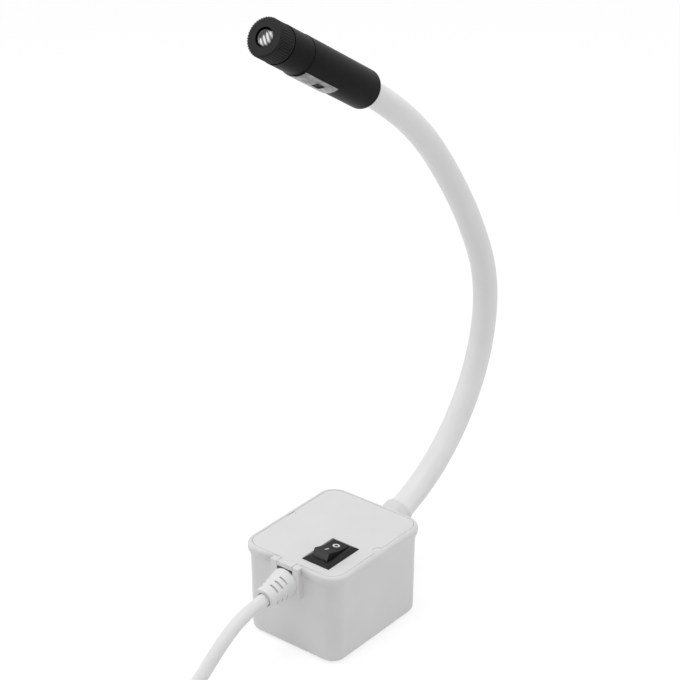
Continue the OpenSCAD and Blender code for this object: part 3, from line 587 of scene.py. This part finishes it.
def hank_height(loop):
    height = hank_low + plug_rise * eased((loop - hank_loops) / fold_share + 1)
    for layer in range(1, hank_layers):
        height += hank_pitch * eased((loop - layer * layer_loops) / layer_climb + 0.5)
    return height


def hank_point(loop):
    share = loop - math.floor(loop)
    returning = share >= 0.5
    side = -1 if returning else 1
    half = share - 0.5 if returning else share
    radius = hank_radius(loop)
    if half < run_share:
        done = half / run_share
        x = hank_front - hank_run * (1 - done if returning else done)
        y = hank_middle + side * radius
    else:
        angle = math.pi * (half - run_share) / fold_share
        x = hank_front - (0 if returning else hank_run) - side * radius * math.sin(angle)
        y = hank_middle + side * radius * math.cos(angle)
    return Vector((x, y, hank_height(loop)))


def through(points, fine):
    """Smooth line through the given points, with a number of short steps between each two."""
    line = []
    for k in range(len(points) - 1):
        before = points[max(k - 1, 0)]
        start = points[k]
        stop = points[k + 1]
        after = points[min(k + 2, len(points) - 1)]
        for s in range(fine):
            t = s / fine
            pull = (stop - before) * t + (before * 2 - start * 5 + stop * 4 - after) * t ** 2
            turn = (start * 3 - before - stop * 3 + after) * t ** 3
            line.append(start + (pull + turn) * 0.5)
    line.append(points[-1])
    return line


gland_sink = 0.0029
gland_clear = 0.001
lead_points = [gland_tip + gland_axis * gland_sink, gland_tip - gland_axis * gland_clear]
for out, share in lead_steps:
    aside = hank_side * eased((out - lead_straight) / lead_turn)
    height = hank_low + share * (gland_tip.z - hank_low)
    lead_points.append(Vector((gland_tip.x - out, aside, height)))
rings_per_loop = 60
ring_total = int(hank_loops * rings_per_loop)
hank_points = [hank_point(k / rings_per_loop) for k in range(ring_total + 1)]
tail_start = Vector((hank_front - cord_thick, hank_middle + fold_radius, plug_height))
tail_steps = 3
tail_points = []
for k in range(tail_steps + 1):
    tail_points.append(tail_start - Vector((tail_length * k / tail_steps, 0.0, 0.0)))
# The lead runs on to the hank's second point for its direction, and stops short of the first
lead_fine = 4
lead_line = through(lead_points + hank_points[:2], lead_fine)[:-lead_fine - 1]
cord_line = lead_line + hank_points + tail_points


def tube_mesh(name, line, radii, sides, side_axis, closed_ends=True):
    """Round tube along a line, its rings square to the line, each with its own radius."""
    points = []
    faces = []
    for k, (centre, radius) in enumerate(zip(line, radii)):
        run = (line[min(k + 1, len(line) - 1)] - line[max(k - 1, 0)]).normalized()
        across = run.cross(side_axis).normalized()
        upward = across.cross(run)
        for s in range(sides):
            angle = 2 * math.pi * s / sides
            points.append(centre + radius * (math.cos(angle) * across + math.sin(angle) * upward))
    for k in range(len(line) - 1):
        for s in range(sides):
            beside = (s + 1) % sides
            here = k * sides
            there = here + sides
            faces.append((here + s, here + beside, there + beside, there + s))
    if closed_ends:
        faces.append(tuple(reversed(range(sides))))
        faces.append(tuple((len(line) - 1) * sides + s for s in range(sides)))
    return new_piece(name, points, faces)


cord_radii = [cord_thick / 2] * len(cord_line)
cord_sides = 18
nearly_up = Vector((0.013, 0.021, 1.0))
mains_cord = tube_mesh("mains_cord", cord_line, cord_radii, cord_sides, nearly_up)
mains_cord.data.materials.append(soft_white)
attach(mains_cord, "base")
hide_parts("cord_lead", "cord_coil", "cord_tail")


# Tie and plug
# A black hook-and-loop strap holds the hank, and the cord ends in a flat moulded two-pin plug.
# The plug and its ribbed strain relief are one shot of white PVC on two nickel-plated brass pins.
tie_black = new_finish(
    "tie_black",
    skin,
    {
        "Tone": grey(0.02),
        "Shade": grey(0.045),
        "Cloud": 900.0,
        "Grain": 3500.0,
        "Rough Low": 0.75,
        "Rough High": 0.95,
    },
    bump=0.6,
    depth=0.0003,
)
pin_nickel = new_finish(
    "pin_nickel",
    lines,
    {"Tone": grey(0.72, 0.03), "Shade": grey(0.6, 0.03), "Rough Low": 0.18, "Rough High": 0.32},
    bump=0.08,
    depth=0.00002,
    Metallic=1.0,
)
tie = dress("cord_tie", tie_black, edge=0.0004)
plug = dress("plug_body", soft_white, edge=0.0009, steps=3)
pins = dress("plug_pins", pin_nickel)


# Bendable neck
# A steel core of ball-ended links holds whatever bend it is given, clamped in the socket by a nut.
# A smooth white PVC sleeve covers it in one length from the socket to the head.
neck_links = 8
neck_radius = 0.00565
link_length = 0.034
last_length = 0.033
link_bends = [22, 21, 24, 28, 9, 6, 12, 8]
socket_tilt = 18
socket_inside = 0.0177
socket_reach = 0.0197
socket_height = 0.0279
neck_sides = 40
across_neck = Vector((0.0, 1.0, 0.0))
# A lighter version of the gland's soft white PVC: the extra lightness is painted light on the neck
sleeve_white_painted_light = new_finish(
    "sleeve_white_painted_light",
    skin,
    {
        "Tone": grey(0.88),
        "Shade": grey(0.855),
        "Cloud": 55.0,
        "Grain": 1600.0,
        "Rough Low": 0.4,
        "Rough High": 0.5,
    },
    bump=0.08,
    depth=0.00004,
    Specular_IOR_Level=0.4,
)


def ahead(angle):
    """Direction in the lamp's middle plane at an angle above the table."""
    return Vector((math.cos(math.radians(angle)), 0.0, math.sin(math.radians(angle))))


def bent_line(start, angle, bend, length, steps):
    """Points along a link that turns evenly by its bend, with its start left out."""
    line = []
    radius = length / math.radians(bend)
    for s in range(1, steps + 1):
        now = math.radians(angle + bend * s / steps)
        was = math.radians(angle)
        shift = Vector((math.sin(now) - math.sin(was), 0.0, math.cos(was) - math.cos(now)))
        line.append(start + radius * shift)
    return line


first_pivot = Vector((rim_length / 2, 0.0, socket_height)) + ahead(socket_tilt) * socket_reach
pivots = [first_pivot]
headings = [socket_tilt]
link_lines = []
half_steps = 12
for k, bend in enumerate(link_bends):
    length = link_length if k < neck_links - 1 else last_length
    link_line = bent_line(pivots[k], headings[k], bend, length, 2 * half_steps)
    link_lines.append(link_line)
    pivots.append(link_line[-1])
    headings.append(headings[k] + bend)

socket_steps = 16
socket_line = []
for s in range(socket_steps):
    socket_line.append(first_pivot - ahead(socket_tilt) * socket_inside * (1 - s / socket_steps))
mouth_back = 0.00298
socket_mouth = first_pivot - ahead(socket_tilt) * mouth_back
foot_length = 0.0052
foot_spread = 0.0013
for k in range(neck_links):
    before = socket_line + [first_pivot] if k == 0 else link_lines[k - 1][half_steps - 1:]
    after = link_lines[k] if k == neck_links - 1 else link_lines[k][:half_steps]
    cover_line = before + after
    cover_radii = []
    for point in cover_line:
        past_mouth = (point - socket_mouth).dot(ahead(socket_tilt)) / foot_length
        foot = foot_spread * (1 - past_mouth) ** 2 if 0 <= past_mouth < 1 else 0.0
        cover_radii.append(neck_radius + foot)
    cover_name = "neck_cover_%d" % (k + 1)
    cover = tube_mesh(cover_name, cover_line, cover_radii, neck_sides, across_neck, closed_ends=False)
    cover.data.materials.append(sleeve_white_painted_light)
    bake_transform(cover)
    if k == 0:
        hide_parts("neck_sleeve_root", "neck_sleeve_1")
    else:
        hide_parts("neck_sleeve_%d" % (k + 1))
dress("neck_core_root", plated_steel)
for k in range(1, neck_links + 1):
    dress("neck_core_%d" % k, plated_steel)
dress("neck_washer", plated_steel)
dress("neck_nut", plated_steel, edge=0.0003)


# Head barrel
# A turned aluminium tube, anodised matt black, screwed on to the neck's end through a bright ring.
# It holds the heat sink, the light source on its board and the two wires.
head_axis = ahead(headings[-1])
head_black = new_finish(
    "head_black",
    skin,
    {
        "Tone": grey(0.005),
        "Shade": grey(0.007),
        "Cloud": 120.0,
        "Grain": 5200.0,
        "Rough Low": 0.34,
        "Rough High": 0.48,
    },
    bump=0.2,
    depth=0.00003,
    Specular_IOR_Level=0.06,
)
bright_alloy = new_finish(
    "bright_alloy",
    lines,
    {
        "Tone": grey(0.75),
        "Shade": grey(0.66),
        "Axis": tuple(head_axis),
        "Along": 5000.0,
        "Across": 120.0,
        "Rough Low": 0.2,
        "Rough High": 0.34,
    },
    bump=0.1,
    depth=0.00002,
    Metallic=1.0,
)
source_yellow = new_finish(
    "source_yellow",
    skin,
    {
        "Tone": (0.85, 0.7, 0.12, 1.0),
        "Shade": (0.8, 0.6, 0.08, 1.0),
        "Cloud": 1200.0,
        "Rough Low": 0.3,
        "Rough High": 0.45,
    },
    bump=0.1,
    depth=0.00002,
)
dress("tip_ring", bright_alloy, edge=0.0002)
dress("tip_nut", plated_steel)
dress("head_barrel", head_black)
dress("heat_sink", bright_alloy)
dress("led_board", print_white)
dress("led_chip", source_yellow)
dress("head_wires", wire_skin)


# Silver plate
# A thin curved plate of brushed aluminium is glued under the barrel and follows its curve.
# A plain dark window is cut through it near its front end.
plate_silver = new_finish(
    "plate_silver",
    lines,
    {
        "Tone": grey(0.4),
        "Shade": grey(0.18),
        "Axis": tuple(head_axis),
        "Along": 260.0,
        "Across": 1700.0,
        "Rough Low": 0.3,
        "Rough High": 0.45,
    },
    bump=0.15,
    depth=0.00002,
    Metallic=1.0,
)
dress("head_plate", plate_silver)


# Front tube and focus ring
# The front tube is turned and anodised like the barrel, with a rubber ring in a groove before the bezel.
# The bezel is knurled all round and turns by hand to slide the lens.
ring_rubber = new_finish(
    "ring_rubber",
    skin,
    {"Tone": grey(0.02), "Shade": grey(0.03), "Cloud": 500.0, "Rough Low": 0.6, "Rough High": 0.8},
    bump=0.2,
    depth=0.00003,
)
dress("front_tube", head_black)
dress("o_ring", ring_rubber)
# The bezel's faces that look along the head's axis carry a painted highlight in their colour
bezel_black = new_finish(
    "bezel_black",
    painted_ends,
    {"Tone": grey(0.004), "End": grey(0.022), "Axis": tuple(head_axis), "Rough Low": 0.36, "Rough High": 0.5},
    bump=0.2,
    depth=0.00003,
    Specular_IOR_Level=0.16,
)
dress("focus_bezel", bezel_black)


# Lens
# A clear acrylic lens with a domed face and moulded ridges across its back spreads the light.
# It sits in a black carrier that two lugs keep from turning while the bezel moves it.
# The lens's colour is painted light: bright stripes of painted reflection across the ridges on the side
# towards the light, grey painted shade in the gaps between them and dark painted shade beyond
ridges, ridges_in, ridges_out = new_effect(
    "Painted lit ridges",
    [
        ("Centre", "Vector", (0.0, 0.0, 0.0)),
        ("Across", "Vector", (0.0, 1.0, 0.0)),
        ("Towards Light", "Vector", (0.0, 0.0, 1.0)),
        ("Pitch", "Float", 0.001),
        ("Lit", "Color", (0.9, 0.9, 0.9, 1.0)),
        ("Shaded Gap", "Color", (0.2, 0.2, 0.2, 1.0)),
        ("Painted Shade", "Color", (0.03, 0.03, 0.03, 1.0)),
        ("Start", "Float", 0.0),
        ("Rise", "Float", 0.001),
    ],
    [("Colour", "Color"), ("Roughness", "Float"), ("Height", "Float")],
)
ridges_place = ridges.nodes.new("ShaderNodeTexCoord").outputs["Object"]
half_ridge = 0.5
ridges_from = vector_math(ridges, "SUBTRACT", ridges_place, ridges_in.outputs["Centre"])
ridges_side = dot(ridges, ridges_from, ridges_in.outputs["Across"])
ridges_deep = dot(ridges, ridges_from, ridges_in.outputs["Towards Light"])
ridges_count = number_math(ridges, "DIVIDE", ridges_side, ridges_in.outputs["Pitch"])
ridges_shift = number_math(ridges, "ADD", ridges_count, half_ridge)
ridges_wave = number_math(ridges, "PINGPONG", ridges_shift, half_ridge)
ridges_inside = number_math(ridges, "SUBTRACT", ridges_deep, ridges_in.outputs["Start"])
ridges_lit = spread(ridges, ridges_inside, 0.0, ridges_in.outputs["Rise"], 0.0, 1.0)
ridges_edge = spread(ridges, ridges_lit, 0.0, 1.0, 0.5, 0.16)
ridges_top = number_math(ridges, "ADD", ridges_edge, 0.14)
ridges_bar = spread(ridges, ridges_wave, ridges_edge, ridges_top, 0.0, 1.0)
ridges_shade_colour = blend_colours(ridges, ridges_lit, ridges_in.outputs["Painted Shade"], ridges_in.outputs["Shaded Gap"])
ridges_tint = blend_colours(ridges, ridges_bar, ridges_shade_colour, ridges_in.outputs["Lit"])
ridges_rough = spread(ridges, ridges_wave, 0.0, 0.5, 0.3, 0.16)
ridges.links.new(ridges_tint, ridges_out.inputs["Colour"])
ridges.links.new(ridges_rough, ridges_out.inputs["Roughness"])
ridges.links.new(ridges_wave, ridges_out.inputs["Height"])

head_up = ahead(headings[-1] - 90)
ridge_turn = math.radians(37.4)
lit_turn = math.radians(54.8)
ridge_level = 0.0725
# The bright stripes and the dark part of this finish are painted reflection and painted shade
lens_clear = new_finish(
    "lens_clear",
    ridges,
    {
        "Centre": tuple(pivots[-1] + head_axis * ridge_level),
        "Across": tuple(across_neck * math.cos(ridge_turn) - head_up * math.sin(ridge_turn)),
        "Towards Light": tuple(-across_neck * math.sin(lit_turn) - head_up * math.cos(lit_turn)),
        "Pitch": 0.00163,
        "Lit": grey(0.92),
        "Shaded Gap": grey(0.2),
        "Painted Shade": grey(0.02),
        "Start": -0.001,
        "Rise": 0.0012,
    },
    bump=0.25,
    depth=0.0002,
    IOR=1.49,
    Coat_Weight=0.3,
)
dress("lens_carrier", switch_black)
dress("lens", lens_clear)

dome_radius = 0.00372
dome_height = 0.0019
dome_foot = 0.07085
dome_flatness = 8
dome_rings = 14
dome_sides = 48
dome_points = [pivots[-1] + head_axis * (dome_foot + dome_height)]
dome_faces = []
for ring in range(1, dome_rings + 1):
    share = ring / dome_rings
    level = pivots[-1] + head_axis * (dome_foot + dome_height * (1 - share ** dome_flatness))
    for side in range(dome_sides):
        angle = 2 * math.pi * side / dome_sides
        outward = across_neck * math.cos(angle) + head_up * math.sin(angle)
        dome_points.append(level + outward * dome_radius * share)
for side in range(dome_sides):
    beside = (side + 1) % dome_sides
    dome_faces.append((0, 1 + side, 1 + beside))
    for ring in range(dome_rings - 1):
        inner = 1 + ring * dome_sides
        outer = inner + dome_sides
        dome_faces.append((inner + side, outer + side, outer + beside, inner + beside))
dome_faces.append(tuple(1 + (dome_rings - 1) * dome_sides + side for side in reversed(range(dome_sides))))
lens_dome = new_piece("lens_dome", dome_points, dome_faces)
lens_dome.data.materials.append(lens_clear)
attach(lens_dome, "lens_unit")


# Studio
# A wide pale floor in a white surround, with a large soft lamp overhead, a fill from the right and a
# small lamp at the left. The floor shows white to the camera and keeps the lamp's soft shadow.
def seen_directly(tree):
    path = tree.nodes.new("ShaderNodeLightPath")
    straight = number_math(tree, "MAXIMUM", path.outputs["Is Camera Ray"], path.outputs["Is Glossy Ray"])
    return number_math(tree, "MAXIMUM", straight, path.outputs["Is Transmission Ray"])


surround = bpy.data.worlds.new("surround")
surround.use_nodes = True
sky = surround.node_tree
sky.nodes["Background"].inputs["Strength"].default_value = 0.5
sky_white = add_node(sky, "ShaderNodeBackground", {"Color": (1.0, 1.0, 1.0, 1.0), "Strength": 1.0})
sky.nodes["Background"].inputs["Color"].default_value = (1.0, 1.0, 1.0, 1.0)
sky_mix = add_node(
    sky,
    "ShaderNodeMixShader",
    {0: seen_directly(sky), 1: sky.nodes["Background"].outputs[0], 2: sky_white.outputs[0]},
)
sky.links.new(sky_mix.outputs[0], sky.nodes["World Output"].inputs["Surface"])
bpy.context.scene.world = surround

floor_half = 6.0
floor_drop = -0.0004
floor_corners = [
    (-floor_half, -floor_half, floor_drop),
    (floor_half, -floor_half, floor_drop),
    (floor_half, floor_half, floor_drop),
    (-floor_half, floor_half, floor_drop),
]
studio_floor = new_piece("studio_floor", floor_corners, [(0, 1, 2, 3)])
floor_paint = bpy.data.materials.new("floor_paint")
floor_paint.use_nodes = True
paint = floor_paint.node_tree
paint_plain = paint.nodes["Principled BSDF"]
paint_plain.inputs["Base Color"].default_value = (0.82, 0.82, 0.82, 1.0)
paint_plain.inputs["Roughness"].default_value = 0.9
paint_plain.inputs["Specular IOR Level"].default_value = 0.0
paint_shadow = add_node(paint, "ShaderNodeBsdfDiffuse", {"Color": (0.32, 0.32, 0.32, 1.0)})
paint_white = add_node(paint, "ShaderNodeEmission", {"Color": (1.0, 1.0, 1.0, 1.0), "Strength": 0.76})
paint_seen = add_node(paint, "ShaderNodeAddShader", {0: paint_shadow.outputs[0], 1: paint_white.outputs[0]})
paint_mix = add_node(
    paint,
    "ShaderNodeMixShader",
    {0: seen_directly(paint), 1: paint_plain.outputs[0], 2: paint_seen.outputs[0]},
)
paint.links.new(paint_mix.outputs[0], paint.nodes["Material Output"].inputs["Surface"])
studio_floor.data.materials.append(floor_paint)


def soft_lamp(name, place, target, size, power):
    light = bpy.data.lights.new(name, "AREA")
    light.shape = "DISK"
    light.size = size
    light.energy = power
    lamp = bpy.data.objects.new(name, light)
    lamp.location = place
    lamp.rotation_mode = "QUATERNION"
    lamp.rotation_quaternion = (Vector(target) - Vector(place)).to_track_quat("-Z", "Y")
    bpy.context.scene.collection.objects.link(lamp)


soft_lamp("key_lamp", (-0.2, 0.08, 1.4), (0.0, 0.0, 0.1), 0.9, 7.8)
soft_lamp("fill_lamp", (0.9, -1.0, 0.6), (0.02, 0.0, 0.12), 0.8, 2.4)
soft_lamp("left_lamp", (-0.2, 0.4, 0.25), (0.0, 0.0, 0.05), 0.2, 0.28)


# Camera
# A long lens looks down on the lamp from the side of its cord, as the photograph does.
# Its place follows from a turn, a rise and a distance from a point inside the neck's curve.
turn = math.radians(-51.32)
rise = math.radians(26.5)
distance = 0.9223
backward = Vector((math.sin(turn) * math.cos(rise), -math.cos(turn) * math.cos(rise), math.sin(rise)))
rightward = Vector((math.cos(turn), math.sin(turn), 0.0))
upward = backward.cross(rightward)
aim_aside = 0.00285
aim_height = 0.13845
looked_at = rightward * aim_aside + Vector((0.0, 0.0, aim_height))
sensor_width = 36.0
focal_pixels = 2200
image_pixels = 680
camera_data = bpy.data.cameras.new("camera")
camera_data.sensor_width = sensor_width
camera_data.lens = sensor_width * focal_pixels / image_pixels
camera_data.clip_start = 0.01
camera_data.clip_end = 50.0
camera = bpy.data.objects.new("camera", camera_data)
camera.matrix_world = Matrix.Translation(looked_at + backward * distance) @ Matrix(
    (rightward, upward, backward)
).transposed().to_4x4()
bpy.context.scene.collection.objects.link(camera)
bpy.context.scene.camera = camera
bpy.context.scene.view_settings.view_transform = "Standard"
